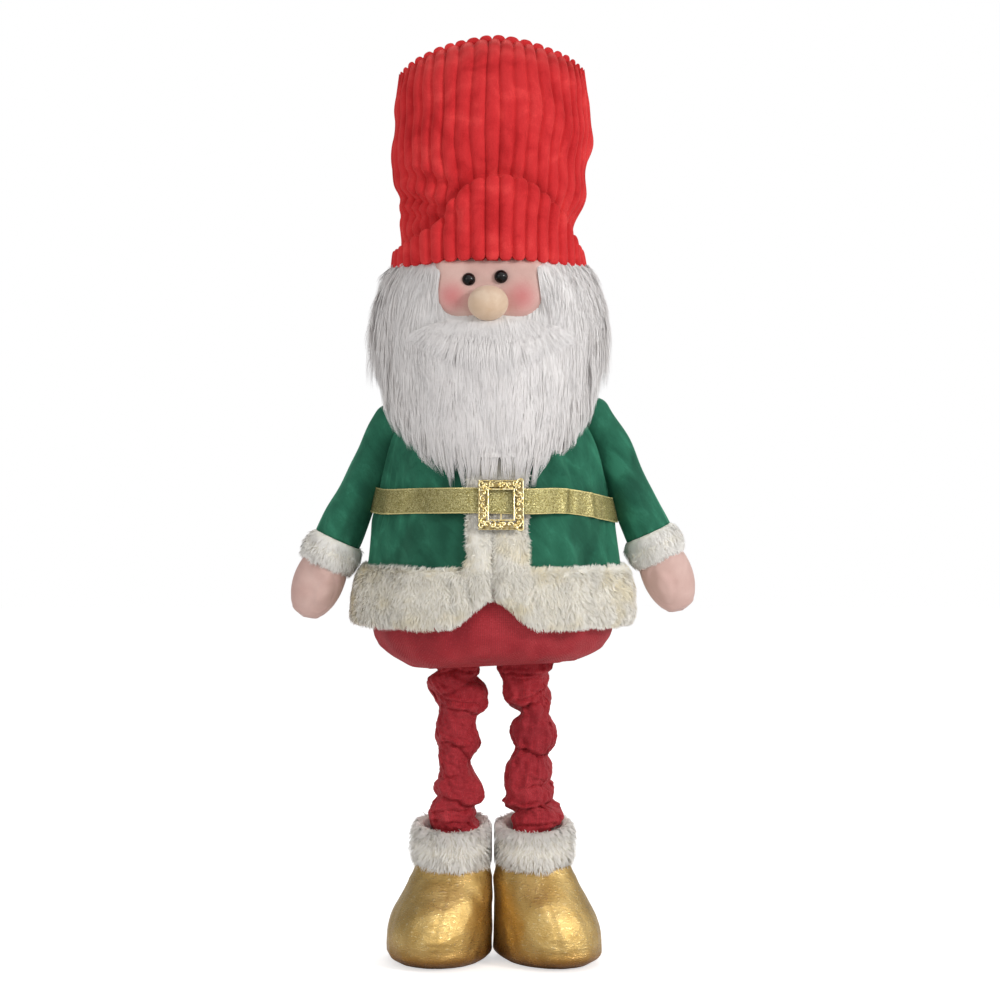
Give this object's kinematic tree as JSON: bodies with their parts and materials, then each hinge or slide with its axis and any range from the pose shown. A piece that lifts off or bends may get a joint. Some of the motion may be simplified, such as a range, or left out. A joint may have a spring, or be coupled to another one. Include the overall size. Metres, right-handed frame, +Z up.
{
  "type": "standing santa figure",
  "caption": "Stuffed cloth figure with a tall ribbed hat, long-pile beard, belted fur-trimmed coat, sewn arms, gathered legs over telescopic poles, and rounded boots it stands on.",
  "frame": {"origin": "on the floor, midway between the two boots", "axes": "+Z up through the head, the figure faces -Y, and +X is to the right as seen from the front"},
  "size_m": [0.4028, 0.2466, 0.9246],
  "materials": {
    "red_corduroy": "bright red wide-wale corduroy plush",
    "red_burlap": "deep red coarse basket weave",
    "green_velvet": "green velvet with uneven nap",
    "cream_plush": "cream short-pile plush",
    "white_long_pile": "white long-pile faux fur",
    "skin_cloth": "smooth pink-beige cloth",
    "nose_felt": "pale beige felt",
    "black_bead": "polished black bead",
    "gold_ribbon": "metallic gold woven ribbon",
    "gold_buckle": "bright gold-plated moulding",
    "gold_lame": "crackled gold lame cloth",
    "tube_steel": "plain steel tube",
    "collar_plastic": "black moulded plastic",
    "board_wood": "plain board"
  },
  "bodies": {
    "figure": {"hat_crown": "red_corduroy", "hat_brim": "red_corduroy", "head": "skin_cloth", "left_eye": "black_bead", "right_eye": "black_bead", "nose": "nose_felt", "moustache": "white_long_pile", "beard": "white_long_pile", "back_hair": "white_long_pile", "torso": "red_burlap", "coat": "green_velvet", "left_front_trim": "cream_plush", "right_front_trim": "cream_plush", "hem_trim": "cream_plush", "left_sleeve": "green_velvet", "right_sleeve": "green_velvet", "left_cuff": "cream_plush", "right_cuff": "cream_plush", "left_hand": "skin_cloth", "right_hand": "skin_cloth", "belt": "gold_ribbon", "buckle": "gold_buckle", "hip_board": "board_wood", "left_upper_tube": "tube_steel", "right_upper_tube": "tube_steel", "left_lock_collar": "collar_plastic", "right_lock_collar": "collar_plastic", "left_leg_cover": "red_burlap", "right_leg_cover": "red_burlap"},
    "left_foot": {"left_boot": "gold_lame", "left_boot_trim": "cream_plush", "left_lower_tube": "tube_steel", "left_sole_plate": "collar_plastic"},
    "right_foot": {"right_boot": "gold_lame", "right_boot_trim": "cream_plush", "right_lower_tube": "tube_steel", "right_sole_plate": "collar_plastic"}
  },
  "joints": [
    {"name": "left_leg_slide", "type": "slide", "parent": "figure", "child": "left_foot", "axis": [0, 0, -1], "range_m": [-0.09, 0.1], "deforming": ["left_leg_cover"]},
    {"name": "right_leg_slide", "type": "slide", "parent": "figure", "child": "right_foot", "axis": [0, 0, -1], "range_m": [-0.09, 0.1], "deforming": ["right_leg_cover"]}
  ]
}
